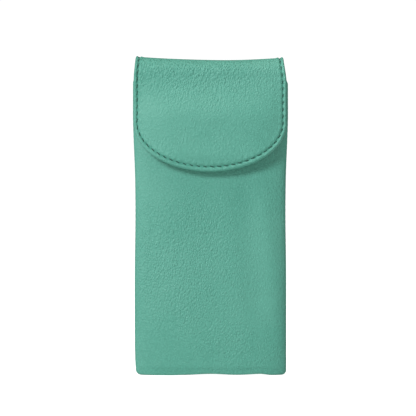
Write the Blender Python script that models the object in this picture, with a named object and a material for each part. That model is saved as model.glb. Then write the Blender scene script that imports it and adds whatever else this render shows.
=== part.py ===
"""Soft leather pouch for glasses, with a fold-over flap on a hidden magnetic snap.

The pouch stands on its base: +Z up, front face towards -Y, left and right along X.
The origin is under the middle of the whole case, at the height of its base.
Two outer leathers are sewn inside out along the sides and the base, so their seam
allowance lies inside. Between them are two pads and a lining bag. The back leather
runs on over the top as a fold, and down the front as the flap.
"""

import math

import bmesh
import bpy
from mathutils import Matrix, Vector

# Driving dimensions, in metres.
half_width = 0.041  # of the pouch, seam to centre
mouth_half_width = 0.042
half_depth = 0.008  # of the pouch, front or back face to the seam
mouth_half_depth = 0.0064
base_half_depth = 0.0065  # of the flat that it stands on
base_rise = 0.022  # height over which the base swells to the full depth
base_corner = 0.0035
mouth_height = 0.159
narrow_from = 0.134  # the pouch gets thinner from here to its mouth
seam_gap = 0.0003
squareness = 2 / 3  # exponent of the cross-section, a superellipse of order 3

# Layers, measured inwards from the outer surface.
leather = (0.0, 0.0011)
padding = (0.0014, 0.0023)
lining = (0.0026, 0.0032)
lining_side_room = 0.0062  # between the pouch's side and the lining bag
lining_base = 0.0066
lining_front_top = 0.1475
lining_back_top = 0.1480  # where the back half lets go of the pouch's shape
lining_neck_room = 0.0004
allowance = 0.0051  # how far the seam allowance reaches in
allowance_top = 0.146
hem_depth = 0.0095  # how far the leather is turned in at the mouth

# Fold and flap.
fold_crown = 0.1710  # height of the fold's top at the centre
fold_lift = 0.0014  # how much higher the fold stands at its ends
fold_half_width = 0.0398
flap_clearance = 0.0013  # between the mouth and the flap
flap_half_width = 0.0412
flap_round_centre = 0.1361  # the flap's end is half an ellipse about this height
flap_round_height = 0.0261
flap_stand = 0.0153  # flap's outer face to the seam plane, at the snap
flap_curl = 0.0045  # how far the flap's sides bend back
fold_curl = 0.0015
flap_tip_return = 0.0010
stitch_inset = 0.0022

# Magnetic snap.
snap_height = 0.126
snap_radius = 0.0070
stud_radius = 0.0017
stud_hole_radius = 0.0022
prong_offset = 0.0040
prong_width = 0.0026
prong_thickness = 0.0004

thread_radius = 0.00025
clear = 0.0003  # left between neighbouring pieces

# The case is centred front to back between the flap's face and the back's.
seam_y = (flap_stand - half_depth) / 2
flap_thickness = lining[1]
fold_front_y = -(mouth_half_depth + flap_clearance + flap_thickness)
fold_radius = (mouth_half_depth - fold_front_y) / 2
fold_height = fold_crown - fold_radius

section_angles = [math.pi * i / 16 for i in range(17)]


def smooth(t):
    t = min(1.0, max(0.0, t))
    return t * t * (3 - 2 * t)


def mix(a, b, t):
    return a + (b - a) * t


def section(angle):
    """Where an angle round the cross-section lies: -1 to 1 across, and 0 to 1 deep."""
    c, s = math.cos(angle), math.sin(angle)
    across = math.copysign(abs(c) ** squareness, c)
    return across, max(0.0, s) ** squareness


# ---- surfaces ----


def depth_at(z, offset, base=0.0):
    """Half-depth of the pouch at a height, for a layer whose own underside is at base."""
    rise = 1 - min(1.0, max(0.0, (z - base - offset) / base_rise))
    swell = math.sqrt(max(0.0, 1 - rise * rise))
    depth = mix(base_half_depth, half_depth, swell)
    thinner = smooth((z - narrow_from) / (mouth_height - narrow_from))
    return depth - (half_depth - mouth_half_depth) * thinner - offset


def width_at(z, offset, base=0.0):
    """Half-width of the pouch at a height, with its rounded lower corners."""
    low = min(base_corner, max(0.0, z - base - offset))
    corner = base_corner - math.sqrt(base_corner**2 - (base_corner - low) ** 2)
    wider = (mouth_half_width - half_width) * smooth((z - 0.115) / 0.03)
    return half_width + wider - corner - offset


def pouch_point(side, z, angle, offset, base=0.0, room=0.0, depth=None):
    """side is -1 for the front and 1 for the back."""
    across, deep = section(angle)
    if depth is None:
        depth = depth_at(z, offset, base)
    x = (width_at(z, offset, base) - room) * across
    return Vector((x, seam_y + side * (seam_gap / 2 + depth * deep), z))


def neck_point(z, angle, offset, room=0.0):
    """The back above its seams, where the sheet lets go of them and flattens for the fold."""
    across, deep = section(angle)
    loose = smooth((z - mouth_height + 0.004) / (fold_height - mouth_height + 0.004))
    width = mix(width_at(z, offset) - room, fold_half_width - room * 0.3, loose)
    in_seam = seam_gap / 2 + depth_at(z, offset) * deep
    flat = mouth_half_depth * (0.6 + 0.4 * deep) - offset
    return Vector((width * across, seam_y + mix(in_seam, flat, loose), z))


def flap_y(z, x):
    """The flap's outer face."""
    down = smooth((fold_height - z) / (fold_height - 0.138))
    back = flap_tip_return * smooth((snap_height - 0.0075 - z) / 0.009)
    curl = mix(fold_curl, flap_curl, smooth((fold_height - z) / 0.02))
    y = mix(fold_front_y, -flap_stand, down) + back
    return seam_y + y + curl * (abs(x) / flap_half_width) ** 4


def fold_point(turn, angle, offset, room=0.0):
    """turn runs from 0 at the back to pi at the front."""
    across, deep = section(angle)
    x = (fold_half_width - room * 0.3) * across
    back = seam_y + mouth_half_depth * (0.6 + 0.4 * deep)
    front = flap_y(fold_height, x)
    reach = (back - front) / 2 - offset
    crown = fold_radius + fold_lift * across * across - offset
    y = (back + front) / 2 + reach * math.cos(turn)
    return Vector((x, y, fold_height + crown * math.sin(turn)))


def flap_rows(inset):
    """Height and half-width of the flap from the fold down to its round end."""
    rows = []
    straight = fold_height - flap_round_centre
    for i in range(5):
        z = fold_height - straight * i / 5
        spread = smooth((fold_height - z) / 0.014)
        rows.append((z, mix(fold_half_width, flap_half_width, spread) - inset))
    for i in range(10):
        turn = math.radians(86) * i / 9
        z = flap_round_centre - (flap_round_height - inset) * math.sin(turn)
        rows.append((z, (flap_half_width - inset) * math.cos(turn)))
    return rows


def flap_grid(offset, inset, rim_offset=None):
    """rim_offset moves the outermost points, as where an edge is turned in."""
    rows = flap_rows(inset)
    grid = []
    for i, (z, width) in enumerate(rows):
        row = []
        for j, angle in enumerate(section_angles):
            x = width * section(angle)[0]
            at_rim = j in (0, len(section_angles) - 1) or i == len(rows) - 1
            off = rim_offset if rim_offset is not None and at_rim else offset
            row.append(Vector((x, flap_y(z, x) + off, z)))
        grid.append(row)
    return grid


# ---- building ----


def material(name, colour, roughness, metallic=0.0):
    found = bpy.data.materials.get(name)
    if found is None:
        found = bpy.data.materials.new(name)
        found.use_nodes = True
        shader = found.node_tree.nodes["Principled BSDF"]
        shader.inputs["Base Color"].default_value = (*colour, 1)
        shader.inputs["Roughness"].default_value = roughness
        shader.inputs["Metallic"].default_value = metallic
    return found


def leather_finish():
    return material("mint_leather", (0.14, 0.43, 0.34), 0.5)


def lining_finish():
    return material("lining_suede", (0.10, 0.26, 0.22), 0.9)


def foam_finish():
    return material("foam", (0.80, 0.80, 0.76), 0.95)


def thread_finish():
    return material("thread", (0.03, 0.17, 0.13), 0.7)


def metal_finish():
    return material("nickel", (0.72, 0.71, 0.69), 0.25, 1.0)


def magnet_finish():
    return material("magnet", (0.12, 0.12, 0.12), 0.5, 0.6)


def add_object(name, bm, finish):
    bmesh.ops.remove_doubles(bm, verts=bm.verts, dist=1e-6)
    bmesh.ops.recalc_face_normals(bm, faces=bm.faces)
    mesh = bpy.data.meshes.new(name)
    bm.to_mesh(mesh)
    bm.free()
    obj = bpy.data.objects.new(name, mesh)
    bpy.context.scene.collection.objects.link(obj)
    mesh.materials.append(finish)
    mesh.shade_smooth()
    mesh.set_sharp_from_angle(angle=math.radians(35))
    return obj


def sheet(name, outside, inside, finish):
    """A closed solid between two grids of points, each a list of rows."""
    bm = bmesh.new()
    faces = [[[bm.verts.new(p) for p in row] for row in g] for g in (outside, inside)]
    rows, columns = len(outside), len(outside[0])
    for verts in faces:
        for i in range(rows - 1):
            for j in range(columns - 1):
                a, b = verts[i][j], verts[i][j + 1]
                bm.faces.new((a, b, verts[i + 1][j + 1], verts[i + 1][j]))
    rim = [(0, j) for j in range(columns)]
    rim += [(i, columns - 1) for i in range(1, rows)]
    rim += [(rows - 1, j) for j in range(columns - 2, -1, -1)]
    rim += [(i, 0) for i in range(rows - 2, 0, -1)]
    out, into = faces
    for k, (i, j) in enumerate(rim):
        m, n = rim[(k + 1) % len(rim)]
        bm.faces.new((out[i][j], out[m][n], into[m][n], into[i][j]))
    return add_object(name, bm, finish)


def cylinder(name, radius, y_from, y_to, finish, x=0.0, z=snap_height, sides=28):
    """A disc or pin along Y, between two distances from the front of the seam plane."""
    bm = bmesh.new()
    bmesh.ops.create_cone(
        bm,
        cap_ends=True,
        segments=sides,
        radius1=radius,
        radius2=radius,
        depth=y_to - y_from,
    )
    bmesh.ops.rotate(bm, verts=bm.verts, matrix=Matrix.Rotation(math.pi / 2, 3, "X"))
    middle = Vector((x, seam_y - (y_from + y_to) / 2, z))
    bmesh.ops.translate(bm, verts=bm.verts, vec=middle)
    return add_object(name, bm, finish)


def box(name, x, y_from, y_to, z, width, height, finish):
    bm = bmesh.new()
    bmesh.ops.create_cube(bm, size=1.0)
    bmesh.ops.scale(bm, verts=bm.verts, vec=(width, y_to - y_from, height))
    middle = Vector((x, seam_y - (y_from + y_to) / 2, z))
    bmesh.ops.translate(bm, verts=bm.verts, vec=middle)
    return add_object(name, bm, finish)


def combine(obj, tool, operation):
    """Adds or cuts away a helper's shape; the helper itself stays hidden."""
    tool.hide_render = True
    tool.display_type = "WIRE"
    modifier = obj.modifiers.new(f"{operation.lower()} {tool.name}", "BOOLEAN")
    modifier.operation = operation
    modifier.object = tool


def tube(name, points, radius, finish, sides=6):
    """A thread along a line of points, with flat ends."""
    bm = bmesh.new()
    rings = []
    for i, p in enumerate(points):
        ahead = points[min(i + 1, len(points) - 1)] - points[max(i - 1, 0)]
        along = ahead.normalized()
        first = along.cross(Vector((0, 1, 0))).normalized()
        second = along.cross(first)
        ring = []
        for k in range(sides):
            a = 2 * math.pi * k / sides
            ring.append(bm.verts.new(p + radius * (math.cos(a) * first + math.sin(a) * second)))
        rings.append(ring)
    for lower, upper in zip(rings, rings[1:]):
        for k in range(sides):
            n = (k + 1) % sides
            bm.faces.new((lower[k], lower[n], upper[n], upper[k]))
    bm.faces.new(rings[0])
    bm.faces.new(reversed(rings[-1]))
    return add_object(name, bm, finish)


# ---- pouch ----


def pouch_heights(base, top):
    low = [base + base_rise * f for f in (0, 0.05, 0.18, 0.45, 1)]
    high = [h for h in (0.070, 0.115, narrow_from, 0.143, 0.151) if h < top]
    return [*low, *high, top]


def pouch_grid(side, offset, top, base=0.0, room=0.0):
    """One layer's surface, from the middle of the base up to its top edge."""
    start = base + offset
    grid = [[pouch_point(side, start, a, offset, base, room, depth=0.0) for a in section_angles]]
    for z in pouch_heights(start, top):
        grid.append([pouch_point(side, z, a, offset, base, room) for a in section_angles])
    return grid


def pouch_outline(inset, top):
    """The seam line, down one side, along the base and up the other, moved in by inset."""
    radius = max(base_corner - inset, 0.0003)
    low = inset + radius
    heights = [mix(top, low, i / 8) for i in range(9)]
    right = [(width_at(z, 0) - inset, z) for z in heights]
    corner = right[-1][0] - radius
    for i in range(1, 5):
        a = math.pi / 2 * i / 4
        right.append((corner + radius * math.cos(a), low - radius * math.sin(a)))
    return right + [(-x, z) for x, z in reversed(right)]


def seam_allowance(side):
    """The two edges that are turned inside: a flat strip that follows the seam."""
    inner_y, outer_y = seam_gap / 2, seam_gap / 2 + leather[1]
    grids = []
    for y in (inner_y, outer_y):
        lines = [pouch_outline(inset, allowance_top) for inset in (0.0005, allowance)]
        grids.append([[Vector((x, seam_y + side * y, z)) for x, z in row] for row in zip(*lines)])
    return sheet("seam_allowance_tool", grids[0], grids[1], leather_finish())


def mouth_hem():
    """The front leather's top edge, turned in over the wall."""
    angles = [mix(math.radians(28), math.radians(152), i / 12) for i in range(13)]
    top = mouth_height + 0.0006
    profile = [
        (-0.00015, top - 0.0017),
        (0.0002, top - 0.0004),
        (0.0010, top),
        (0.0024, top),
        (lining[1], top - 0.0008),
        (lining[1], mouth_height - hem_depth),
        (lining[1] - leather[1], mouth_height - hem_depth),
        (lining[1] - leather[1], top - 0.0017),
    ]
    bm = bmesh.new()
    rings = []
    for angle in angles:
        rings.append([bm.verts.new(pouch_point(-1, z, angle, off)) for off, z in profile])
    for near, far in zip(rings, rings[1:]):
        for k in range(len(profile)):
            n = (k + 1) % len(profile)
            bm.faces.new((near[k], near[n], far[n], far[k]))
    bm.faces.new(rings[0])
    bm.faces.new(reversed(rings[-1]))
    return add_object("mouth_hem_tool", bm, leather_finish())


def prong_slots(name, y_from, y_to):
    """Cutters for the two slits that a snap's prongs go through."""
    made = []
    for side in (-1, 1):
        made.append(
            box(
                f"{name}_{side}",
                side * prong_offset,
                y_from,
                y_to,
                snap_height,
                prong_thickness + 2 * clear,
                prong_width + 2 * clear,
                metal_finish(),
            )
        )
    return made


def front_panel():
    panel = sheet(
        "front_panel",
        pouch_grid(-1, leather[0], mouth_height),
        pouch_grid(-1, leather[1], mouth_height),
        leather_finish(),
    )
    combine(panel, seam_allowance(-1), "UNION")
    combine(panel, mouth_hem(), "UNION")
    for slot in prong_slots("front_slit", half_depth - 0.003, half_depth + 0.001):
        combine(panel, slot, "DIFFERENCE")


def back_panel():
    grids = []
    for offset in leather:
        grid = pouch_grid(1, offset, mouth_height - 0.004)
        for i in range(1, 5):
            z = mix(mouth_height - 0.004, fold_height - clear / 2, i / 4)
            grid.append([neck_point(z, a, offset) for a in section_angles])
        grids.append(grid)
    panel = sheet("back_panel", *grids, leather_finish())
    combine(panel, seam_allowance(1), "UNION")


def pad(name, side):
    """A foam sheet that stops short of the seams and of the hem."""
    angles = [mix(math.radians(30), math.radians(150), i / 10) for i in range(11)]
    heights = [0.009, 0.014, 0.022, 0.07, narrow_from, 0.141, 0.147]
    grids = [[[pouch_point(side, z, a, off) for a in angles] for z in heights] for off in padding]
    return sheet(name, *grids, foam_finish())


def padded_walls():
    front = pad("front_padding", -1)
    pad("back_padding", 1)
    hole = cylinder("pad_hole", snap_radius + 0.001, 0.0045, 0.0075, foam_finish())
    combine(front, hole, "DIFFERENCE")


def lining_wall(side, offset):
    """One surface of one half of the lining bag; the back half runs on up to the fold."""
    start = lining_base + offset - lining[0]
    base = lining_base - lining[0]
    room = lining_side_room - lining[0]
    top = lining_front_top if side < 0 else lining_back_top
    grid = [[pouch_point(side, start, a, offset, base, room, 0.0) for a in section_angles]]
    for z in pouch_heights(start, top):
        grid.append([pouch_point(side, z, a, offset, base, room) for a in section_angles])
    if side > 0:
        for i in range(1, 6):
            z = mix(top, fold_height - clear / 2, i / 5)
            narrow = mix(room, lining_neck_room, smooth((z - top) / 0.011))
            grid.append([neck_point(z, a, offset, narrow) for a in section_angles])
    return grid


def lining_bag():
    for name, side in (("front_lining", -1), ("back_lining", 1)):
        sheet(name, *[lining_wall(side, offset) for offset in lining], lining_finish())


def pouch_threads():
    """The closing seam's two threads, inside, and the stitching under the mouth's edge."""
    line = pouch_outline(0.0024, allowance_top - 0.002)
    away = seam_gap / 2 + leather[1] + clear + thread_radius
    for name, side in (("seam_needle_thread", -1), ("seam_bobbin_thread", 1)):
        points = [Vector((x, seam_y + side * away, z)) for x, z in line]
        tube(name, points, thread_radius, thread_finish())
    height = mouth_height - 0.0035
    angles = [mix(math.radians(30), math.radians(150), i / 16) for i in range(17)]
    lift = -(clear + thread_radius)
    points = [pouch_point(-1, height, a, lift) for a in angles]
    tube("mouth_topstitch", points, thread_radius, thread_finish())


# ---- fold and flap ----


def fold():
    """The fold is one sheet of leather and one of lining, each split at its top."""
    parts = (("rear", 0.0, math.pi / 2), ("front", math.pi / 2, math.pi))
    for layer, offsets, room, finish in (
        ("leather", leather, 0.0, leather_finish()),
        ("lining", lining, 0.004, lining_finish()),
    ):
        for label, start, end in parts:
            gap = clear / fold_radius
            turns = [mix(start + gap, end - gap, i / 4) for i in range(5)]
            grids = []
            for off in offsets:
                grids.append([[fold_point(t, a, off, room) for a in section_angles] for t in turns])
            sheet(f"fold_{layer}_{label}", *grids, finish)


def flap_sheets():
    sheet(
        "flap_leather",
        flap_grid(leather[0], 0.0, 0.0003),
        flap_grid(leather[1], 0.0003, padding[1]),
        leather_finish(),
    )
    stiffener = sheet(
        "flap_stiffener",
        flap_grid(padding[0], 0.0050),
        flap_grid(padding[1], 0.0050),
        foam_finish(),
    )
    inner = flap_stand - flap_thickness
    hole = cylinder("stiffener_hole", snap_radius + 0.001, inner, flap_stand, foam_finish())
    combine(stiffener, hole, "DIFFERENCE")
    cover = sheet(
        "flap_lining",
        flap_grid(lining[0], 0.0012),
        flap_grid(lining[1], 0.0012),
        lining_finish(),
    )
    for slot in prong_slots("lining_slit", inner - 0.001, inner + 0.001):
        combine(cover, slot, "DIFFERENCE")


def flap_threads():
    """Stitching round the flap, a line on its face and its bobbin line underneath."""
    rows = flap_rows(stitch_inset)[1:]
    side = [(w, z) for z, w in rows]
    line = side + [(-x, z) for x, z in reversed(side)]
    lift = clear + thread_radius
    for name, offset in (("flap_topstitch", -lift), ("flap_bobbin_thread", flap_thickness + lift)):
        points = [Vector((x, flap_y(z, x) + offset, z)) for x, z in line]
        tube(name, points, thread_radius, thread_finish())


# ---- magnetic snap ----


def prongs(body, root, foot, towards_seam):
    """Two legs through the leather, bent outwards behind a washer."""
    step = -prong_thickness if towards_seam else prong_thickness
    for side in (-1, 1):
        low, high = sorted((root, foot + step))
        leg = box(
            f"{body.name}_leg_{side}",
            side * prong_offset,
            low,
            high,
            snap_height,
            prong_thickness,
            prong_width,
            metal_finish(),
        )
        combine(body, leg, "UNION")
        near, far = sorted((foot, foot + step))
        bent = box(
            f"{body.name}_foot_{side}",
            side * (prong_offset + 0.0010),
            near,
            far,
            snap_height,
            0.0020 + prong_thickness,
            prong_width - 0.0002,
            metal_finish(),
        )
        combine(body, bent, "UNION")


def snap_washer(name, y_from, y_to):
    washer = cylinder(name, snap_radius - 0.0003, y_from, y_to, metal_finish())
    for slot in prong_slots(f"{name}_slot", y_from - 0.001, y_to + 0.001):
        combine(washer, slot, "DIFFERENCE")


def snap_socket():
    """Base plate, ring magnet and pressed cover, fastened to the front leather."""
    face = half_depth
    base = cylinder("socket_base", snap_radius - 0.0006, face + clear, face + 0.0007, metal_finish())
    washer_from = face - leather[1] - clear - 0.0003
    prongs(base, face + 0.0005, washer_from - 0.0002, True)
    snap_washer("socket_washer", washer_from, washer_from + 0.0003)
    magnet = cylinder("socket_magnet", 0.0056, face + 0.0010, face + 0.0021, magnet_finish())
    bore = cylinder("magnet_bore", stud_hole_radius, face, face + 0.004, magnet_finish())
    combine(magnet, bore, "DIFFERENCE")
    cover = cylinder("socket_cover", snap_radius, face + 0.0003, face + 0.0028, metal_finish())
    inside = cylinder("cover_inside", snap_radius - 0.0003, face, face + 0.0024, metal_finish())
    hole = cylinder("cover_hole", stud_hole_radius, face, face + 0.004, metal_finish())
    combine(cover, inside, "DIFFERENCE")
    combine(cover, hole, "DIFFERENCE")


def snap_stud():
    """Plate and nipple on the flap's lining, with their washer behind it."""
    inner = flap_stand - flap_thickness
    plate = cylinder("stud_plate", snap_radius - 0.0002, inner - 0.0009, inner - clear, metal_finish())
    nipple = cylinder("stud_nipple", stud_radius, inner - 0.0026, inner - 0.0006, metal_finish())
    combine(plate, nipple, "UNION")
    washer_from = inner + lining[1] - lining[0] + 0.0002
    prongs(plate, inner - 0.0005, washer_from + 0.0005, False)
    snap_washer("stud_washer", washer_from, washer_from + 0.0003)


def main():
    for obj in list(bpy.data.objects):
        bpy.data.objects.remove(obj)
    front_panel()
    back_panel()
    padded_walls()
    lining_bag()
    pouch_threads()
    fold()
    flap_sheets()
    flap_threads()
    snap_socket()
    snap_stud()


main()
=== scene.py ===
import math

import bpy
import numpy as np
from mathutils import Matrix, Vector, noise


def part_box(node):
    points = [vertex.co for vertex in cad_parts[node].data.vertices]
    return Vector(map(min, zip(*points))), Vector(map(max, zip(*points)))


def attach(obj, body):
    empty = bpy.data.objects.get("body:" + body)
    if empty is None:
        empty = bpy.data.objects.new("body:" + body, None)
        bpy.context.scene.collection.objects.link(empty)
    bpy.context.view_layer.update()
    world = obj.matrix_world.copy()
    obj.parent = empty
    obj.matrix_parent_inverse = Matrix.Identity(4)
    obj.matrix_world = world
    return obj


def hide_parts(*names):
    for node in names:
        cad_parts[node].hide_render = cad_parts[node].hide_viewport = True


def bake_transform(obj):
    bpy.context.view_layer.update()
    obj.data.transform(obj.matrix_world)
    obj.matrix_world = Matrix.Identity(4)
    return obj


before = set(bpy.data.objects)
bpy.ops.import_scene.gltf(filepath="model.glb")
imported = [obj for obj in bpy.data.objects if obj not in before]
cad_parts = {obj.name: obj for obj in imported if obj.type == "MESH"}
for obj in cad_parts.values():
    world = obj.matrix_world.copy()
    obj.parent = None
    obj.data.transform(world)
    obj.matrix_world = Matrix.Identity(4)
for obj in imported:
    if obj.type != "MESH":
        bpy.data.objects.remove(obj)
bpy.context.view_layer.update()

mm = 0.001

# The camera and the lights come first. A light has its place, size, power and colour.
studio = {
    "lensMm": 100,
    "distance": 1.0,
    "flapFaceY": -0.012,
    "aim": (-1.35 * mm, 0, 90.5 * mm),
    "frameHeight": 222.8 * mm,
    "lightsAim": (0, 0, 0.09),
    "lights": {
        "keyLight": ((-1.25, -1.75, 1.25), (0.6, 0.6), 34.2, (1, 1, 1)),
        "fillLight": ((0.9, -0.8, 0.25), (0.7, 0.7), 1.0, (1, 1, 1)),
        "leftLight": ((-1.3, -0.5, 0.35), (0.5, 0.9), 2.5, (1, 0.74, 0.80)),
        "topLight": ((0, -0.12, 1.1), (0.9, 0.7), 5.0, (1, 0.88, 0.82)),
    },
    "world": 0.13,
    "worldTint": (0.62, 1, 0.84, 1),
    "backdrop": 1.05,
}


def addCamera():
    data = bpy.data.cameras.new("camera")
    camera = bpy.data.objects.new("camera", data)
    bpy.context.scene.collection.objects.link(camera)
    data.lens = studio["lensMm"]
    data.sensor_width = studio["lensMm"] * studio["frameHeight"] / studio["distance"]
    back = -studio["distance"] + studio["flapFaceY"]
    camera.location = Vector(studio["aim"]) + Vector((0, back, 0))
    camera.rotation_euler = (math.pi / 2, 0, 0)
    bpy.context.scene.camera = camera


def addLight(name, place, size, power, colour):
    data = bpy.data.lights.new(name, "AREA")
    data.shape = "RECTANGLE"
    data.size, data.size_y = size
    data.energy = power
    data.color = colour
    lamp = bpy.data.objects.new(name, data)
    bpy.context.scene.collection.objects.link(lamp)
    lamp.location = place
    towards = Vector(studio["lightsAim"]) - Vector(place)
    lamp.rotation_euler = towards.to_track_quat("-Z", "Y").to_euler()


def addWorld():
    # a faint ambient light, and plain white where the camera looks past the case
    world = bpy.data.worlds.new("studioWorld")
    bpy.context.scene.world = world
    world.use_nodes = True
    tree = world.node_tree
    back = tree.nodes["Background"]
    path = tree.nodes.new("ShaderNodeLightPath")
    tint = tree.nodes.new("ShaderNodeMix")
    tint.data_type = "RGBA"
    tint.inputs[6].default_value = studio["worldTint"]
    tint.inputs[7].default_value = (1, 1, 1, 1)
    tree.links.new(path.outputs["Is Camera Ray"], tint.inputs["Factor"])
    tree.links.new(tint.outputs[2], back.inputs["Color"])
    level = tree.nodes.new("ShaderNodeMapRange")
    level.inputs["To Min"].default_value = studio["world"]
    level.inputs["To Max"].default_value = studio["backdrop"]
    tree.links.new(path.outputs["Is Camera Ray"], level.inputs["Value"])
    tree.links.new(level.outputs["Result"], back.inputs["Strength"])


addCamera()
for name, settings in studio["lights"].items():
    addLight(name, *settings)
addWorld()
bpy.context.scene.view_settings.view_transform = "Standard"
print("studio set")


class Val:
    # wraps a socket, so that maths on it adds its nodes
    def __init__(self, tree, socket):
        self.tree = tree
        self.socket = socket

    def maths(self, operation, other, swap=False):
        pair = [other, self] if swap else [self, other]
        return self.tree.node("ShaderNodeMath", {"operation": operation}, dict(enumerate(pair)))

    def __add__(self, other):
        return self.maths("ADD", other)

    def __radd__(self, other):
        return self.maths("ADD", other, True)

    def __sub__(self, other):
        return self.maths("SUBTRACT", other)

    def __rsub__(self, other):
        return self.maths("SUBTRACT", other, True)

    def __mul__(self, other):
        return self.maths("MULTIPLY", other)

    def __rmul__(self, other):
        return self.maths("MULTIPLY", other, True)

    def __truediv__(self, other):
        return self.maths("DIVIDE", other)

    def __pow__(self, other):
        return self.maths("POWER", other)

    def between(self, low, high):
        settings = {"interpolation_type": "SMOOTHSTEP"}
        values = {"Value": self, "From Min": low, "From Max": high}
        return self.tree.node("ShaderNodeMapRange", settings, values)


class Finish:
    # one material's node tree
    def __init__(self, name):
        self.material = bpy.data.materials.new(name)
        self.material.use_nodes = True
        self.nodes = self.material.node_tree.nodes
        self.links = self.material.node_tree.links
        self.shader = self.nodes["Principled BSDF"]
        self.place = self.node("ShaderNodeTexCoord", output="Object")

    def put(self, socket, value):
        if isinstance(value, Val):
            self.links.new(value.socket, socket)
        elif isinstance(value, (tuple, list)) and len(value) == 3 and len(socket.default_value) == 4:
            socket.default_value = (*value, 1)
        else:
            socket.default_value = value

    def node(self, kind, settings=None, values=None, output=0):
        made = self.nodes.new(kind)
        for key, value in (settings or {}).items():
            setattr(made, key, value)
        for key, value in (values or {}).items():
            self.put(made.inputs[key], value)
        return Val(self, made.outputs[output])

    def noise(self, scale, detail, at=None, output="Fac"):
        values = {"Vector": at or self.place, "Scale": scale, "Detail": detail}
        return self.node("ShaderNodeTexNoise", None, values, output)

    def pebbles(self, at, scale, smoothness, randomness=1.0):
        # rounded cells of so many to the metre, with thin valleys between them
        values = {"Vector": at, "Scale": scale, "Smoothness": smoothness, "Randomness": randomness}
        return self.node("ShaderNodeTexVoronoi", {"feature": "SMOOTH_F1"}, values)

    def axis(self, letter):
        return self.node("ShaderNodeSeparateXYZ", None, {"Vector": self.place}, letter)

    def mixColour(self, factor, first, second):
        settings = {"data_type": "RGBA"}
        return self.node("ShaderNodeMix", settings, {"Factor": factor, 6: first, 7: second}, 2)

    def bump(self, height, strength, distance):
        values = {"Height": height, "Strength": strength, "Distance": distance}
        return self.node("ShaderNodeBump", None, values)

    def surface(self, colour, roughness, **more):
        for key, value in {"Base Color": colour, "Roughness": roughness, **more}.items():
            self.put(self.shader.inputs[key], value)
        return self.material


leatherLook = {
    "colour": (0.120, 0.440, 0.348),
    "crease": (0.088, 0.362, 0.280),
    "pale": (0.160, 0.488, 0.392),
    "cell": 1080,  # grain cells to the metre
    "milled": 900,  # the same, where the hide was milled harder
    "drawnTurn": 14,  # the milled cells slant by this and are this much longer than wide
    "drawnLength": 1.35,
    "grainDepth": 0.00028,
    "roughness": 0.45,
    # where the grain is coarsest: place across and up, half width and half height in mm, amount
    "spots": [(-4, 186, 70, 47, 1.6), (-14, 58, 44, 46, 0.8), (12, 14, 28, 18, 0.6)],
}


def milledAmount(f):
    # in patches, and in the spots
    amount = f.noise(26, 2).between(0.45, 0.62) * 0.25
    across = f.axis("X")
    up = f.axis("Z")
    for x, z, wide, tall, most in leatherLook["spots"]:
        gone = ((across - x * mm) / (wide * mm)) ** 2 + ((up - z * mm) / (tall * mm)) ** 2
        amount = amount + (1 - gone.between(0.0, 1.0)) * most
    return amount


def leatherFinish():
    f = Finish("mintLeather")
    wander = f.noise(420, 2, output="Color")
    shift = f.node("ShaderNodeVectorMath", {"operation": "SCALE"}, {0: wander, "Scale": 0.0006})
    bent = f.node("ShaderNodeVectorMath", {"operation": "ADD"}, {0: f.place, 1: shift})
    large = f.pebbles(bent, leatherLook["cell"], 0.35)
    small = f.pebbles(bent, leatherLook["cell"] * 2.3, 0.3)
    pebble = 1 - large.between(0.1, 0.75)
    slant = (0, math.radians(leatherLook["drawnTurn"]), 0)
    longer = (1, 1, leatherLook["drawnLength"])
    values = {"Vector": bent, "Rotation": slant, "Scale": longer}
    drawn = f.node("ShaderNodeMapping", {"vector_type": "TEXTURE"}, values)
    coarse = f.pebbles(drawn, leatherLook["milled"], 0.3, 0.72)
    wrinkle = f.noise(900, 2, at=drawn)
    milled = milledAmount(f)
    height = pebble * 0.35 + (1 - small) * 0.2 + f.noise(3400, 3) * 0.08
    height = height + (1 - coarse) * (0.7 + milled * 1.4) + wrinkle * (0.1 + milled * 0.3)
    broad = f.noise(16, 3)
    tint = f.mixColour(pebble * 0.7 + 0.3, leatherLook["crease"], leatherLook["colour"])
    tint = f.mixColour(broad.between(0.38, 0.66) * 0.4, tint, leatherLook["pale"])
    rough = leatherLook["roughness"] + (1 - pebble) * 0.1 + broad * 0.06
    return f.surface(tint, rough, Normal=f.bump(height, 0.85, leatherLook["grainDepth"]))


suedeLook = {
    "dark": (0.055, 0.17, 0.14),
    "light": (0.12, 0.30, 0.245),
    "brushed": (0.15, 0.34, 0.28),
    "roughness": 0.92,
    "sheen": 0.35,
    "sheenRoughness": 0.5,
}


def suedeFinish():
    f = Finish("liningSuede")
    nap = f.noise(2400, 4)
    brushed = f.noise(45, 3)
    tint = f.mixColour(nap.between(0.3, 0.7), suedeLook["dark"], suedeLook["light"])
    tint = f.mixColour(brushed.between(0.45, 0.7) * 0.4, tint, suedeLook["brushed"])
    f.put(f.shader.inputs["Sheen Weight"], suedeLook["sheen"])
    f.put(f.shader.inputs["Sheen Roughness"], suedeLook["sheenRoughness"])
    return f.surface(tint, suedeLook["roughness"], Normal=f.bump(nap + brushed * 0.4, 0.5, 0.00015))


threadLook = {"dark": (0.008, 0.06, 0.042), "light": (0.025, 0.14, 0.105), "roughness": 0.62, "plies": 900}


def threadFinish():
    f = Finish("greenThread")
    values = {"Vector": f.place, "Scale": threadLook["plies"], "Distortion": 0.6}
    ply = f.node("ShaderNodeTexWave", {"bands_direction": "DIAGONAL"}, values, "Fac")
    tint = f.mixColour(ply, threadLook["dark"], threadLook["light"])
    return f.surface(tint, threadLook["roughness"], Normal=f.bump(ply, 0.6, 0.00008))


metalLook = {"nickel": (0.73, 0.71, 0.68), "roughness": 0.2, "rubbed": 0.16}


def metalFinish():
    f = Finish("nickel")
    rub = f.noise(700, 3)
    rough = metalLook["roughness"] + rub * metalLook["rubbed"]
    return f.surface(metalLook["nickel"], rough, Metallic=1.0, Normal=f.bump(rub, 0.12, 0.00005))


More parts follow.
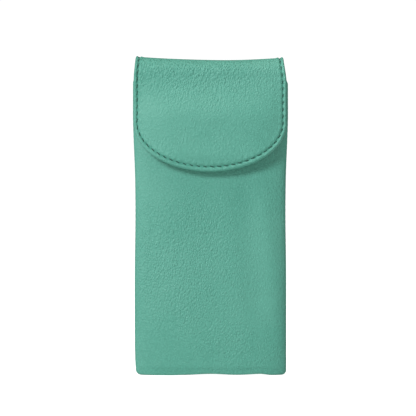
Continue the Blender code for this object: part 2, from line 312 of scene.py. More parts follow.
magnetLook = {"dark": (0.03, 0.03, 0.032), "light": (0.09, 0.09, 0.09), "roughness": 0.5}


def magnetFinish():
    f = Finish("ferrite")
    speck = f.noise(1800, 3)
    tint = f.mixColour(speck, magnetLook["dark"], magnetLook["light"])
    return f.surface(tint, magnetLook["roughness"] + speck * 0.2)


foamLook = {"pore": (0.62, 0.62, 0.58), "light": (0.85, 0.85, 0.81), "roughness": 0.95, "pores": 1500}


def foamFinish():
    f = Finish("paleFoam")
    values = {"Vector": f.place, "Scale": foamLook["pores"]}
    pores = f.node("ShaderNodeTexVoronoi", None, values, "Distance")
    tint = f.mixColour(pores, foamLook["pore"], foamLook["light"])
    return f.surface(tint, foamLook["roughness"], Normal=f.bump(pores, 0.5, 0.0002))


mint = leatherFinish()
suede = suedeFinish()
greenThread = threadFinish()
nickel = metalFinish()
ferrite = magnetFinish()
paleFoam = foamFinish()
print("finishes made")


def span(node, axis):
    # the lowest and highest place of a CAD node along an axis, in mm
    return [round(corner["xyz".index(axis)] / mm, 3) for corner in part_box(node)]


frontPanel = span("front_panel", "y")
backPanel = span("back_panel", "y")
mouthWide = span("back_panel", "x")[1]
flapWide = span("flap_leather", "x")[1]
flapTop = span("flap_leather", "z")[1]
# how far the soft edges stand out past the CAD's, in mm
mouthSwell = 0.2
flapSwell = 0.1

# The sizes of the outer leather, in mm.
form = {
    "seamY": (frontPanel[1] + backPanel[0]) / 2,
    "halfWidth": flapWide,
    "mouthHalfWidth": mouthWide + mouthSwell,
    "halfDepth": backPanel[1] - backPanel[0],
    "mouthHalfDepth": 6.4,
    "baseHalfDepth": 5.8,
    "baseRise": 22.0,
    "baseCorner": 2.3,
    "grooveDepth": 0.8,
    "grooveWidth": 0.55,
    "waist": 0.4,
    "waistHeight": 88.0,
    "widerFrom": 105.0,
    "widerOver": 38.0,
    "mouthHeight": 159.0,
    "narrowFrom": 134.0,
    "neckFrom": 152.5,
    "foldHeight": flapTop,
    "foldHalfWidth": 40.1,
    "foldRadius": 8.65,
    "foldLift": 1.4,
    "foldFrontY": -10.9,
    "flapHalfWidth": flapWide + flapSwell,
    "flapRoundCentre": 136.1,
    "flapRoundHeight": 26.1,
    "flapStand": 15.3,
    "flapCurl": 4.5,
    "foldCurl": 1.0,
    "tipReturn": 1.8,
    "flapLean": 0.2,
    "foldLean": 0.5,
    "rimWider": 1.08,
    "endRimWider": 1.38,
    "leather": 0.85,
    "seamPitch": 3.1,
    "stitchPitch": 3.8,
}

foldCentreY = (form["mouthHalfDepth"] + form["foldFrontY"]) / 2 + form["seamY"]


def smooth(t):
    t = np.clip(t, 0, 1)
    return t * t * (3 - 2 * t)


def mix(a, b, t):
    return a + (b - a) * t


def hump(value, centre, spread):
    return np.exp(-(((value - centre) / spread) ** 2))


def waves(x, z, size, seed):
    # smooth unevenness, about -1 to 1
    points = np.stack([x / size, z / size, np.full_like(x, seed)], -1).reshape(-1, 3)
    values = np.array([noise.noise(Vector(p)) for p in points])
    return values.reshape(x.shape)


def pouchDepth(z):
    rise = 1 - np.clip(z / form["baseRise"], 0, 1)
    depth = mix(form["baseHalfDepth"], form["halfDepth"], np.sqrt(1 - rise * rise))
    thinner = smooth((z - form["narrowFrom"]) / (form["mouthHeight"] - form["narrowFrom"]))
    return depth - (form["halfDepth"] - form["mouthHalfDepth"]) * thinner


def pouchWidth(z):
    corner = form["baseCorner"]
    low = np.clip(z, 0, corner)
    cut = corner - np.sqrt(corner**2 - (corner - low) ** 2)
    wider = smooth((z - form["widerFrom"]) / form["widerOver"])
    wider = (form["mouthHalfWidth"] - form["halfWidth"]) * wider
    return form["halfWidth"] - form["waist"] * hump(z, form["waistHeight"], 22) + wider - cut


# Columns across half the hide, from under its turned edge to its face.
# Each is how far in from the edge and how far below the face it lies, in mm.
rimColumns = np.array(
    [
        (4.4, 2.70), (3.6, 2.72), (2.8, 2.74), (2.0, 2.74), (1.35, 2.70),
        (0.88, 2.56), (0.50, 2.32), (0.22, 1.98), (0.05, 1.62), (0.0, 1.28),
        (0.04, 0.86), (0.14, 0.42), (0.33, 0.02), (0.60, -0.28), (0.94, -0.32),
        (1.30, -0.10), (1.62, 0.22), (1.95, 0.50), (2.22, 0.30), (2.50, 0.04),
        (2.85, -0.14), (3.4, -0.12), (4.2, 0.0),
    ]
)  # fmt: skip
stitchColumn = 17
# The same places on the pouch: how far from the seam's plane each column lies, and how far
# the first ones lie inside the seam.
seamColumns = np.array(
    [0.0, 0.0, 0.0, 0.0, 0.0, 0.0, 0.32, 0.45, 0.6, 0.78, 1.0, 1.25, 1.5]
    + [1.75, 2.0, 2.25, 2.5, 2.75, 3.0, 3.3, 3.6, 4.0, 4.5]
)
seamReach = np.array([5.2, 4.2, 3.2, 2.2, 1.4, 0.95])
seamEdgeColumn = 10
# from there the columns go on to the centre line, closer together near the edge
faceColumns = 26
faceSteps = (np.arange(1, faceColumns + 1) / faceColumns) ** 1.15


def flapY(x, z):
    down = smooth((form["foldHeight"] - z) / (form["foldHeight"] - 138.0))
    back = form["tipReturn"] * smooth((119.5 - z) / 10)
    curl = mix(form["foldCurl"], form["flapCurl"], smooth((form["foldHeight"] - z) / 20))
    stand = mix(form["foldFrontY"], -form["flapStand"], down)
    return form["seamY"] + stand + back + curl * np.abs(x / form["flapHalfWidth"]) ** 4


def backY(x):
    # the back of the fold: the hide is let go from the seams and flattens out
    across = np.clip(np.abs(x) / form["foldHalfWidth"], 0, 1)
    return form["seamY"] + form["mouthHalfDepth"] * (1 - 0.16 * across**4)


def looseWidth(z):
    # the hide is pulled in a little where it goes over the top
    return mix(form["foldHalfWidth"], form["flapHalfWidth"], smooth((173.5 - z) / 16))


def sewnRow(z, side, depth=None, offset=0.0):
    # half a row across one face of the pouch, from inside the seam to the centre line
    deep = (pouchDepth(z) if depth is None else depth) - offset
    wide = pouchWidth(z) - offset
    share = seamColumns / form["halfDepth"]
    seamX = wide * (1 - share**3) ** (1 / 3)
    faceX = seamX[-1] * (1 - faceSteps)
    x = np.concatenate([seamX, faceX])
    y = np.concatenate([share * deep, deep * (1 - (faceX / wide) ** 3) ** (1 / 3)])
    # the seam lies in a groove, which is square to the outline all the way round
    groove = form["grooveDepth"] * np.exp(-((y / form["grooveWidth"]) ** 2))
    bottom = np.clip(1 - z / form["baseCorner"], 0, 1)
    x = x - groove * math.sqrt(1 - bottom * bottom)
    height = z + groove * bottom
    # the turned-in edge narrows to nothing at the base and at the front's mouth
    reach = smooth(z / 5) if offset == 0 else 0.0
    if side < 0:
        reach *= smooth((154 - z) / 6)
    inside = len(seamReach)
    x[:inside] = mix(x[inside], wide - seamReach, reach)
    return np.stack([x, form["seamY"] + side * y, height], -1)


def rowAt(x, y, z):
    return np.stack([x, y, np.full_like(x, z)], -1)


def neckRow(z, drop, inset, width):
    x = width - inset
    return rowAt(x, backY(x) - drop, z)


def foldRow(turn, drop, inset, width):
    x = width - inset
    back = backY(x)
    front = flapY(x, form["foldHeight"])
    across = x / form["foldHalfWidth"]
    reach = (back - front) / 2 - drop
    crown = form["foldRadius"] + form["foldLift"] * across**2 - drop
    y = (back + front) / 2 + reach * np.cos(turn)
    z = form["foldHeight"] + crown * np.sin(turn)
    return np.stack([x, y, z], -1)


def flapRow(z, drop, inset):
    x = looseWidth(z) - inset
    return rowAt(x, flapY(x, z) + drop, z)


def endRow(turn, drop, inset):
    # a row of the flap's round end: it runs square in from the edge, then to the centre line
    a, b = form["flapHalfWidth"], form["flapRoundHeight"]
    edge = np.array([a * math.cos(turn), form["flapRoundCentre"] - b * math.sin(turn)])
    inward = np.array([-b * math.cos(turn), a * math.sin(turn)])
    inward /= np.linalg.norm(inward)
    near = edge + inward * inset[:-faceColumns, None]
    spine = np.array([0.0, form["flapRoundCentre"] - 0.45 * b * math.sin(turn)])
    far = mix(near[-1], spine, faceSteps[:, None])
    x, z = np.concatenate([near, far]).T
    return np.stack([x, flapY(x, z) + drop, z], -1)


def widthScaled(inset, width):
    # spreads the face columns from the rim to the centre line of a row of this half-width
    made = inset.copy()
    made[-faceColumns:] = mix(made[-faceColumns - 1], width, faceSteps)
    return made


def bothHalves(half):
    mirrored = half[:-1].copy()
    mirrored[:, 0] *= -1
    return np.concatenate([mirrored, half[::-1]])


def fullRows(halves):
    return np.array([bothHalves(half) for half in halves])


def alongPath(points):
    steps = np.linalg.norm(np.diff(points, axis=0), axis=1)
    return np.concatenate([[0], np.cumsum(steps)])


def puckered(drop, inset, along):
    # the thread pulls the leather in at each hole, and it swells a little between them
    pull = math.cos(2 * math.pi * along / form["stitchPitch"])
    centre = rimColumns[stitchColumn][0]
    near = hump(inset, centre, 0.42)
    beside = hump(inset, centre + 0.95, 0.5) + 0.6 * hump(inset, centre - 0.8, 0.4)
    return drop + (drop < 1) * (0.13 * near * (1 + pull) + 0.2 * beside * pull)


def hidePlaces():
    # each row of the hide above the pouch: its kind, and its height in mm or its turn
    top = form["foldHeight"]
    places = [("neck", mix(form["neckFrom"], top, i / 14)) for i in range(14)]
    places += [("fold", math.pi * i / 44) for i in range(44)]
    places += [("flap", mix(top, form["flapRoundCentre"], i / 42)) for i in range(42)]
    places += [("end", math.pi / 2 * i / 100) for i in range(101)]
    return places


def neckToFold(z, drop, inset, sewn):
    # the hide leaves the seams over the neck's height; the lining was never in them
    away = smooth((z - form["neckFrom"]) / (form["foldHeight"] - 1.0 - form["neckFrom"]))
    width = mix(pouchWidth(z), looseWidth(z), smooth((z - 158.5) / 3.8))
    inset = widthScaled(inset, width)
    if not sewn:
        return neckRow(z, drop, inset, width)
    return mix(sewnRow(z, 1), neckRow(z, drop * away, inset, width), away)


def hideRow(kind, value, drop, inset, sewn):
    # the rim is wider than its columns, and widest at the tip of the flap's end
    turned = math.sin(value) if kind == "end" else 0.0
    inset = inset.copy()
    inset[:-faceColumns] *= mix(form["rimWider"], form["endRimWider"], turned)
    if kind == "neck":
        return neckToFold(value, drop, inset, sewn)
    if kind == "fold":
        width = looseWidth(form["foldHeight"] + 9.5 * math.sin(value))
        return foldRow(value, drop, widthScaled(inset, width), width)
    if kind == "flap":
        return flapRow(value, drop, widthScaled(inset, looseWidth(value)))
    return endRow(value, drop, inset)


def hideRows(drop, inset, sewn):
    # half rows from the neck of the back, over the fold, to the end of the flap
    places = hidePlaces()
    rows = np.array([hideRow(*place, drop, inset, sewn) for place in places])
    if not sewn:
        return rows
    # the hide is laid again with its stitches, which are spaced along the first laying
    drops = [puckered(drop, inset, s) for s in alongPath(rows[:, stitchColumn])]
    return np.array([hideRow(*place, sunk, inset, sewn) for place, sunk in zip(places, drops)])


def leaned(rows):
    # a made case is a little uneven: its flap sits to the left, and the fold dips right of its middle
    x, y, z = rows[..., 0], rows[..., 1], rows[..., 2]
    loose = np.where(y > foldCentreY, smooth((z - form["neckFrom"]) / 10), 1)
    across = x / form["foldHalfWidth"]
    high = smooth((z - form["foldHeight"]) / 8)
    rows[..., 2] = z - high * (0.28 * across + 0.25 * hump(across, 0.35, 0.45))
    rows[..., 0] = x - loose * mix(form["flapLean"], form["foldLean"], smooth((z - 156) / 14))
    return rows


def pouchRows(side, top):
    # half rows of one face: across the base from its seam, round the base's edge, and up to a height
    rows = []
    for depth in (0.0, 0.15, 0.3, 0.5, 0.75, 1.05, 1.5, 2.2, 3.2, 4.3, 5.0, 5.5):
        rows.append(sewnRow(0.0, side, depth))
    for i in range(15):
        turn = math.pi / 2 * (i + 0.3) / 14.3
        rows.append(sewnRow(form["baseRise"] * (1 - math.cos(turn)), side))
    count = int((top - form["baseRise"]) / 1.6)
    for i in range(count):
        rows.append(sewnRow(mix(form["baseRise"], top, (i + 1) / count), side))
    return rows


def softForm(rows, side, seed):
    # the leather's slow unevenness, strongest in the middle of a face
    x, y, z = rows[..., 0], rows[..., 1], rows[..., 2]
    inner = np.clip((np.abs(y - form["seamY"]) - 1.0) / 4.5, 0, 1)
    rise = 0.22 * waves(x, z, 26.0, seed) + 0.10 * waves(x, z, 9.0, seed + 7.3)
    if side < 0:
        # a shallow valley slants up the front, with a ridge on each side of it
        valley = 23.0 - 0.10 * (z - 60)
        ridges = 0.5 * hump(x, valley + 10, 5.0) + 0.25 * hump(x, valley - 12, 6.0)
        strength = smooth((118 - z) / 30) * smooth((z - 8) / 40)
        rise = rise + strength * (ridges - 0.5 * hump(x, valley, 5.5))
        rise = rise - 0.30 * hump(x, -31.0, 5.0) * hump(z, 78, 26)
        # the seam's allowance shows as a ridge above the base
        rise = rise + 0.30 * hump(z, 4.6, 1.3) - 0.35 * hump(z, 2.6, 0.8)
    rows[..., 1] = y + side * inner * rise
    # the base is not quite level: it rests on its left end and its right corner
    lift = 0.5 * smooth((x + 22) / 14) + 0.25 * np.cos(x / 4.6) * smooth((x + 18) / 10)
    rows[..., 2] = z + lift * smooth((34 - x) / 8) * np.exp(-z / 5)
    rows[..., 0] = x + 0.9 * smooth((-x - 20) / 18) * np.exp(-z / 6)
    return rows


def seamGather(rows):
    # small gathers where the closing seam pulls the leather in
    along = alongPath(rows[:, seamEdgeColumn])
    x, y, z = rows[..., 0], rows[..., 1], rows[..., 2]
    near = hump(np.abs(y - form["seamY"]), 0.9, 0.9) * smooth((152 - z) / 8)
    pull = np.cos(2 * np.pi * along / form["seamPitch"])[:, None]
    rows[..., 0] = x - np.sign(x) * 0.04 * near * pull
    return rows


def flapSwell(rows):
    # the flap's face is a little uneven inside its stitches, and fuller near its end
    x, y, z = rows[..., 0], rows[..., 1], rows[..., 2]
    flapEnd = form["flapRoundCentre"] - form["flapRoundHeight"]
    face = smooth((looseWidth(z) - np.abs(x) - 3) / 6) * smooth((z - flapEnd - 3) / 6)
    front = smooth((form["seamY"] - 3 - y) / 4)
    swell = 0.16 * waves(x, z, 17.0, 5.5) + 0.09 * waves(x, z, 6.5, 9.5)
    rows[..., 1] = y + face * front * (swell + 0.35 * hump(z, 128, 9) * hump(x, 0, 60))
    return rows


def onlySelect(piece):
    bpy.ops.object.select_all(action="DESELECT")
    piece.select_set(True)
    bpy.context.view_layer.objects.active = piece


def applied(piece, kind, **settings):
    modifier = piece.modifiers.new(kind.lower(), kind)
    for key, value in settings.items():
        setattr(modifier, key, value)
    bpy.ops.object.modifier_apply(modifier=modifier.name)


def sheetFromRows(name, rows, thickness, finish, flip=False, edge=0.0):
    # a flat grid is laid out, its points are moved to the rows, and it is given its thickness
    count, across = rows.shape[:2]
    bpy.ops.object.select_all(action="DESELECT")
    bpy.ops.mesh.primitive_grid_add(x_subdivisions=across - 1, y_subdivisions=count - 1, size=0.1)
    piece = bpy.context.active_object
    piece.name = name
    piece.data.name = name
    piece.data.vertices.foreach_set("co", (rows.reshape(-1) * mm).astype(np.float32))
    piece.data.update()
    bpy.ops.object.mode_set(mode="EDIT")
    bpy.ops.mesh.select_all(action="SELECT")
    bpy.ops.mesh.remove_doubles(threshold=0.00001)
    if flip:
        bpy.ops.mesh.flip_normals()
    bpy.ops.object.mode_set(mode="OBJECT")
    applied(piece, "SOLIDIFY", thickness=thickness * mm, offset=-1, use_quality_normals=True)
    if edge:
        sharp = math.radians(50)
        applied(piece, "BEVEL", width=edge * mm, segments=2, limit_method="ANGLE", angle_limit=sharp)
    bpy.ops.object.shade_smooth_by_angle(angle=math.radians(50))
    piece.data.materials.clear()
    piece.data.materials.append(finish)
    return piece


def standsFor(piece, slot, *nodes, body=None):
    # rides on a body when one is given, and takes the place of its CAD nodes
    if body:
        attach(piece, body)
    if nodes:
        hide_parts(*nodes)


def turnAbout(y, z):
    # the angle round the fold, 0 at the back and 180 at the front
    angle = np.degrees(np.arctan2(z - form["foldHeight"], y - foldCentreY))
    return np.where(z < form["foldHeight"], np.where(y > foldCentreY, -1, 181), angle)


def faceTurns(piece):
    middle = np.array([face.center for face in piece.data.polygons]) / mm
    return turnAbout(middle[:, 1], middle[:, 2])


def chooseFaces(piece, chosen):
    onlySelect(piece)
    bpy.ops.object.mode_set(mode="EDIT")
    bpy.ops.mesh.select_all(action="DESELECT")
    bpy.ops.mesh.select_mode(type="FACE")
    bpy.ops.object.mode_set(mode="OBJECT")
    piece.data.polygons.foreach_set("select", chosen)
    bpy.ops.object.mode_set(mode="EDIT")


def markTurn(piece, turn):
    # adds an edge loop where a plane through the middle of the fold's arc crosses the fold
    angles = faceTurns(piece)
    chooseFaces(piece, (angles > 5) & (angles < 175))
    middle = (0, foldCentreY * mm, form["foldHeight"] * mm)
    square = (0, -math.sin(turn), math.cos(turn))
    bpy.ops.mesh.bisect(plane_co=middle, plane_no=square, threshold=0.000001)
    bpy.ops.object.mode_set(mode="OBJECT")


def keepTurns(piece, low, high):
    # keeps the faces between two angles, and closes the cut ends
    angles = faceTurns(piece)
    chooseFaces(piece, (angles < low) | (angles >= high))
    bpy.ops.mesh.delete(type="FACE")
    bpy.ops.mesh.select_mode(type="EDGE")
    bpy.ops.mesh.select_all(action="DESELECT")
    bpy.ops.mesh.select_non_manifold(extend=False, use_wire=False, use_multi_face=False, use_verts=False)
    bpy.ops.mesh.edge_face_add()
    bpy.ops.object.mode_set(mode="OBJECT")
    bpy.ops.object.shade_smooth_by_angle(angle=math.radians(50))


def copyOf(piece, name):
    made = piece.copy()
    made.data = piece.data.copy()
    made.name = name
    made.data.name = name
    bpy.context.scene.collection.objects.link(made)
    return made


# The fold is three parts, with a hinge angle given at the middle of each. Angles in degrees.
foldParts = {"turns": ((-10, 60), (60, 120), (120, 400)), "hinges": (30, 90, 150), "hingeRadius": 7.4}
foldBodies = ("pouch", "fold_rear", "fold_front", "flap")


def splitAtFold(piece, names):
    for degrees in foldParts["turns"][1]:
        markTurn(piece, math.radians(degrees))
    pieces = [copyOf(piece, name) for name in names]
    bpy.data.objects.remove(piece)
    for made, (low, high) in zip(pieces, foldParts["turns"]):
        keepTurns(made, low, high)
    return pieces


def bendPoints(degrees, reach):
    # the two points, this far each side of a hinge
    turn = math.radians(degrees)
    y = foldCentreY + foldParts["hingeRadius"] * math.cos(turn)
    z = form["foldHeight"] + foldParts["hingeRadius"] * math.sin(turn)
    centre = Vector((0, y, z)) * mm
    along = Vector((0, -math.sin(turn), math.cos(turn))) * reach * mm
    return tuple(centre - along), tuple(centre + along)


def bendFold(pieces, reach):
    for piece, degrees, first, second in zip(pieces, foldParts["hinges"], foldBodies, foldBodies[1:]):
        start, end = bendPoints(degrees, reach)
        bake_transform(piece)


hideCut = {"top": 151.0, "bendReach": 2.6, "seed": 3.1}


def makeHide():
    # one hide: the back, the fold and the flap with its edge turned under
    drop = np.concatenate([rimColumns[:, 1], np.zeros(faceColumns)])
    inset = np.concatenate([rimColumns[:, 0], np.zeros(faceColumns)])
    back = softForm(fullRows(pouchRows(1, hideCut["top"])), 1, hideCut["seed"])
    loose = flapSwell(leaned(fullRows(hideRows(drop, widthScaled(inset, form["flapHalfWidth"]), True))))
    rows = np.concatenate([seamGather(back), loose])
    hide = sheetFromRows("hide", rows, form["leather"], mint, flip=True)
    pieces = splitAtFold(hide, ("backLeather", "foldLeather", "flapLeather"))
    bendFold(pieces, hideCut["bendReach"])
    standsFor(pieces[0], "leather", "back_panel", "fold_leather_rear")
    standsFor(pieces[1], "leather", "fold_leather_front")
    standsFor(pieces[2], "leather", "flap_leather")
    return loose


looseRows = makeHide()
print("hide laid out and split over the fold")


# The front's top edge is rolled inwards: how far in and at what height each row lies, in mm.
frontCut = {
    "top": 156.6,
    "seed": 1.7,
    "roll": [
        (0.0, 157.4), (0.03, 157.9), (0.12, 158.35), (0.32, 158.8), (0.62, 159.15), (1.0, 159.4),
        (1.5, 159.5), (2.0, 159.45), (2.45, 159.25), (2.8, 158.9), (3.0, 158.4), (3.1, 157.8),
        (3.12, 156.6), (3.12, 155.0), (3.12, 153.0), (3.12, 151.2), (3.12, 149.7),
    ],
}  # fmt: skip


def makeFront():
    halves = pouchRows(-1, frontCut["top"])
    halves += [sewnRow(z, -1, offset=inward) for inward, z in frontCut["roll"]]
    rows = seamGather(softForm(fullRows(halves), -1, frontCut["seed"]))
    piece = sheetFromRows("frontLeather", rows, form["leather"], mint)
    standsFor(piece, "leather", "front_panel", body="pouch")


makeFront()
print("front made")


# The lining's first columns go under the flap's turned edge: inset and drop, as for the rim.
liningCut = {
    "inset": [1.05, 1.5, 1.95, 2.4, 3.2, 4.4],
    "drop": [3.18, 3.28, 3.36, 3.28, 3.3, 3.3],
    "faceDrop": 3.3,
    "thickness": 0.5,
    "edge": 0.12,
    "room": 6.0,
    "wall": 3.25,
    "base": span("back_lining", "z")[0],
    "backTop": 146.0,
    "frontTop": 149.4,
    "bendReach": 1.9,
}


def liningSection(z, side):
    # half a row of the lining bag inside the pouch
    deep = max(pouchDepth(z) - liningCut["wall"], 0.3)
    deep *= math.sqrt(max(0.02, 1 - (1 - min(1, (z - liningCut["base"]) / 14)) ** 2))
    wide = pouchWidth(z) - liningCut["room"]
    angles = np.linspace(0.02, math.pi / 2, len(liningCut["inset"]) + faceColumns)
    x = wide * np.cos(angles) ** (2 / 3)
    x[-1] = 0
    y = np.maximum(deep * np.sin(angles) ** (2 / 3), 0.1)
    return rowAt(x, form["seamY"] + side * y, z)


def makeLinings():
    drop = np.array(liningCut["drop"] + [liningCut["faceDrop"]] * faceColumns)
    inset = np.array(liningCut["inset"] + [0.0] * faceColumns)
    loose = hideRows(drop, inset, False)
    under = leaned(fullRows(loose))
    low = liningCut["base"] + 0.1
    bag = [liningSection(z, 1) for z in np.linspace(low, liningCut["backTop"], 40)]
    for row in loose[:14]:
        # the neck's rows start as the bag's and end as the fold lining's
        z = row[0, 2]
        row[:] = mix(liningSection(z, 1), row, smooth((z - 151) / 10))
    rows = leaned(fullRows(bag + list(loose)))
    thickness, edge = liningCut["thickness"], liningCut["edge"]
    sheet = sheetFromRows("lining", rows, thickness, suede, edge=edge)
    pieces = splitAtFold(sheet, ("backLining", "foldLining", "flapLining"))
    bendFold(pieces, liningCut["bendReach"])
    standsFor(pieces[0], "lining", "back_lining", "fold_lining_rear")
    standsFor(pieces[1], "lining", "fold_lining_front")
    standsFor(pieces[2], "lining", "flap_lining")
    front = [liningSection(z, -1) for z in np.linspace(low, liningCut["frontTop"], 44)]
    piece = sheetFromRows("frontLining", fullRows(front), thickness, suede, flip=True, edge=edge)
    standsFor(piece, "lining", "front_lining", body="pouch")
    return under


liningRows = makeLinings()
print("linings made")


# In mm and degrees. A lift is how far a thread's middle stands off the leather or the lining.
stitch = {
    "length": 3.5,
    "radius": 0.38,
    "slant": -20,
    "firstRow": 5,
    "lift": 0.04,
    "underLift": -0.06,
    "underColumn": 2,
    "mouthHeight": 155.6,
    "mouthLift": 0.06,
}


def oneStitch():
    # a short length of thread whose ends dip into their holes
    radius = stitch["radius"]
    bpy.ops.object.select_all(action="DESELECT")
    bpy.ops.mesh.primitive_uv_sphere_add(segments=8, ring_count=7, radius=radius * mm)
    piece = bpy.context.active_object
    piece.name = "stitchPattern"
    for vertex in piece.data.vertices:
        x, y, z = vertex.co / (radius * mm)
        along = math.copysign(abs(z) ** 0.72, z)
        dipped = y * radius - 0.36 * along**4
        vertex.co = Vector((x * 0.95 * radius, dipped, along * stitch["length"] / 2)) * mm
    bpy.ops.object.shade_smooth()
    piece.data.materials.append(greenThread)
    return piece


def pathNormals(rows, column):
    down = np.gradient(rows[:, column], axis=0)
    across = rows[:, column + 2] - rows[:, column - 2]
    normal = np.cross(down, across)
    return normal / np.linalg.norm(normal, axis=1)[:, None]


def onPath(s, lengths, line):
    return np.array([np.interp(s, lengths, line[:, i]) for i in range(3)])


def sewAlong(name, pattern, path, outward, lift, low=-10, high=400):
    # copies the one stitch along a line of points, between two angles round the fold
    lengths = alongPath(path)
    pitch = form["stitchPitch"]
    made = []
    for k in range(int(lengths[-1] / pitch)):
        s = (k + 0.5) * pitch
        place = onPath(s, lengths, path)
        if not low <= turnAbout(place[1], place[2]) < high:
            continue
        along = Vector(onPath(s + 1.2, lengths, path) - onPath(s - 1.2, lengths, path)).normalized()
        up = Vector(onPath(s, lengths, outward)).normalized()
        along = (along - up * along.dot(up)).normalized()
        along = Matrix.Rotation(math.radians(stitch["slant"]), 3, up) @ along
        turn = Matrix((up.cross(along), up, along)).transposed().to_4x4()
        copy = copyOf(pattern, name)
        copy.data.transform(Matrix.Translation((Vector(place) + up * lift) * mm) @ turn)
        made.append(copy)
    bpy.ops.object.select_all(action="DESELECT")
    for copy in made:
        copy.select_set(True)
    bpy.context.view_layer.objects.active = made[0]
    bpy.ops.object.join()
    joined = bpy.context.active_object
    joined.name = name
    joined.data.name = name
    return joined


def turnedOut(path, normal, sign):
    # turns each normal away from the case's middle, or towards it where sign is -1
    middle = path.copy()
    middle[:, 0] *= 0.2
    middle[:, 1] = foldCentreY
    middle[:, 2] = np.minimum(path[:, 2], form["foldHeight"])
    flips = np.sign(np.sum((path - middle) * normal, axis=1))
    return normal * (flips * sign)[:, None]


def sewRound(rows, names, lift, sign, column, reach):
    # up one side, round the flap's end and back down the other side, in three pieces
    other = rows.shape[1] - 1 - column
    path = np.concatenate([rows[:, column], rows[::-1, other][1:]])
    normals = np.concatenate([pathNormals(rows, column), pathNormals(rows, other)[::-1][1:]])
    normals = turnedOut(path, normals, sign)
    pattern = oneStitch()
    pieces = []
    for name, (low, high) in zip(names, foldParts["turns"]):
        pieces.append(sewAlong(name, pattern, path, normals, lift, low, high))
    bpy.data.objects.remove(pattern)
    bendFold(pieces, reach)
    return pieces


def makeStitches():
    start = stitch["firstRow"]
    names = ("backStitches", "foldStitches", "flapStitches")
    reach = hideCut["bendReach"]
    top = sewRound(looseRows[start:], names, stitch["lift"], 1, stitchColumn, reach)
    names = ("backUnderStitches", "foldUnderStitches", "flapUnderStitches")
    reach = liningCut["bendReach"]
    under = sewRound(liningRows[start:], names, stitch["underLift"], -1, stitch["underColumn"], reach)
    for piece in top[:2] + under[:2]:
        standsFor(piece, "thread")
    standsFor(top[2], "thread", "flap_topstitch")
    standsFor(under[2], "thread", "flap_bobbin_thread")


def makeMouthStitches():
    z = stitch["mouthHeight"]
    angles = np.linspace(math.radians(22), math.radians(158), 200)
    side = np.sign(np.cos(angles))
    across = side * np.abs(np.cos(angles)) ** (2 / 3)
    face = form["seamY"] - 0.02 - pouchDepth(z) * np.sin(angles) ** (2 / 3)
    path = rowAt(pouchWidth(z) * across, face, z)
    normals = np.stack([across**2 * side * 0.35, -np.ones_like(across), np.zeros_like(across)], -1)
    pattern = oneStitch()
    piece = sewAlong("mouthStitches", pattern, path, normals, stitch["mouthLift"])
    bpy.data.objects.remove(pattern)
    standsFor(piece, "thread", "mouth_topstitch", body="pouch")


makeStitches()
makeMouthStitches()
print("flap and mouth stitched")


# Each profile is a list of radius and distance out, in mm: the cover's from the pouch's face,
# the stud's from the flap's underside.
snap = {
    "height": sum(span("socket_cover", "z")) / 2,
    "flapWall": 3.2,
    "cover": [
        (2.2, 2.35), (2.2, 2.6), (2.35, 2.78), (2.7, 2.8), (3.1, 2.62), (3.5, 2.55), (5.3, 2.6),
        (6.1, 2.45), (6.65, 2.05), (6.92, 1.4), (7.0, 0.7), (7.0, 0.35), (6.75, 0.3), (6.7, 0.5),
        (6.7, 1.3), (6.4, 1.85), (5.9, 2.2), (5.2, 2.33), (3.5, 2.3), (2.2, 2.35),
    ],
    "stud": [
        (0.0, -2.6), (1.0, -2.58), (1.4, -2.42), (1.62, -2.15), (1.68, -1.8), (1.6, -1.35),
        (1.75, -1.12), (2.2, -1.0), (4.4, -0.94), (5.8, -0.9), (6.35, -0.82), (6.7, -0.62),
        (6.8, -0.4), (6.7, -0.3), (0.0, -0.3),
    ],
}  # fmt: skip


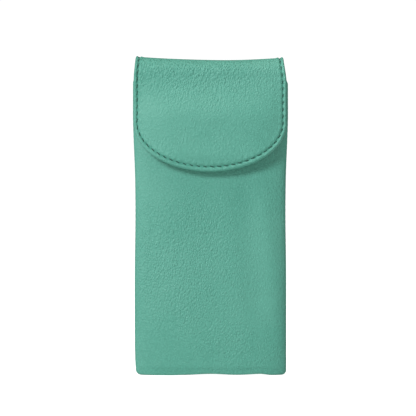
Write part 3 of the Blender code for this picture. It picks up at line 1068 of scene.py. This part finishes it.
def turnedPiece(name, profile, face, finish):
    # spins a profile about the snap's own line; face is how far out from the seam it starts
    height = snap["height"] * mm
    mesh = bpy.data.meshes.new(name)
    points = [(r * mm, (form["seamY"] - face - out) * mm, height) for r, out in profile]
    mesh.from_pydata(points, [(i, i + 1) for i in range(len(points) - 1)], [])
    piece = bpy.data.objects.new(name, mesh)
    bpy.context.scene.collection.objects.link(piece)
    onlySelect(piece)
    bpy.ops.object.mode_set(mode="EDIT")
    bpy.ops.mesh.select_all(action="SELECT")
    bpy.ops.mesh.spin(steps=56, angle=2 * math.pi, center=(0, 0, height), axis=(0, 1, 0))
    bpy.ops.mesh.select_all(action="SELECT")
    bpy.ops.mesh.remove_doubles(threshold=0.000005)
    bpy.ops.mesh.normals_make_consistent(inside=False)
    bpy.ops.object.mode_set(mode="OBJECT")
    bpy.ops.object.shade_smooth_by_angle(angle=math.radians(32))
    piece.data.materials.append(finish)
    return piece


socket = turnedPiece("snapSocket", snap["cover"], form["halfDepth"], nickel)
standsFor(socket, "metal", "socket_cover", body="pouch")
stud = turnedPiece("snapStud", snap["stud"], form["flapStand"] - snap["flapWall"], nickel)
standsFor(stud, "metal", "stud_plate", body="flap")
print("snap made")


# The CAD nodes that stay only get a finish.
keptNodes = {
    "front_padding": paleFoam,
    "back_padding": paleFoam,
    "flap_stiffener": paleFoam,
    "seam_needle_thread": greenThread,
    "seam_bobbin_thread": greenThread,
    "socket_base": nickel,
    "socket_magnet": ferrite,
    "socket_washer": nickel,
    "stud_washer": nickel,
}
for name, finish in keptNodes.items():
    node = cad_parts[name]
    node.data.materials.clear()
    node.data.materials.append(finish)
print("kept nodes finished", len(keptNodes))


# The glow makes the floor plain white to the camera and faint to the case.
floorLook = {
    "size": 8,
    "height": -0.0003,
    "dark": (0.72, 0.72, 0.72),
    "light": (0.75, 0.75, 0.75),
    "faintGlow": (0.1, 0.1, 0.1),
    "seenGlow": (1.0, 1.0, 1.0),
    "roughness": 0.9,
}


def makeFloor():
    bpy.ops.object.select_all(action="DESELECT")
    bpy.ops.mesh.primitive_plane_add(size=floorLook["size"], location=(0, 0, floorLook["height"]))
    floor = bpy.context.active_object
    floor.name = "floor"
    f = Finish("paleFloor")
    tint = f.mixColour(f.noise(6, 2), floorLook["dark"], floorLook["light"])
    seen = f.node("ShaderNodeLightPath", output="Is Camera Ray")
    glow = f.mixColour(seen, floorLook["faintGlow"], floorLook["seenGlow"])
    f.put(f.shader.inputs["Emission Strength"], 1.0)
    floor.data.materials.append(f.surface(tint, floorLook["roughness"], **{"Emission Color": glow}))


makeFloor()
print("floor laid")

bpy.context.view_layer.update()
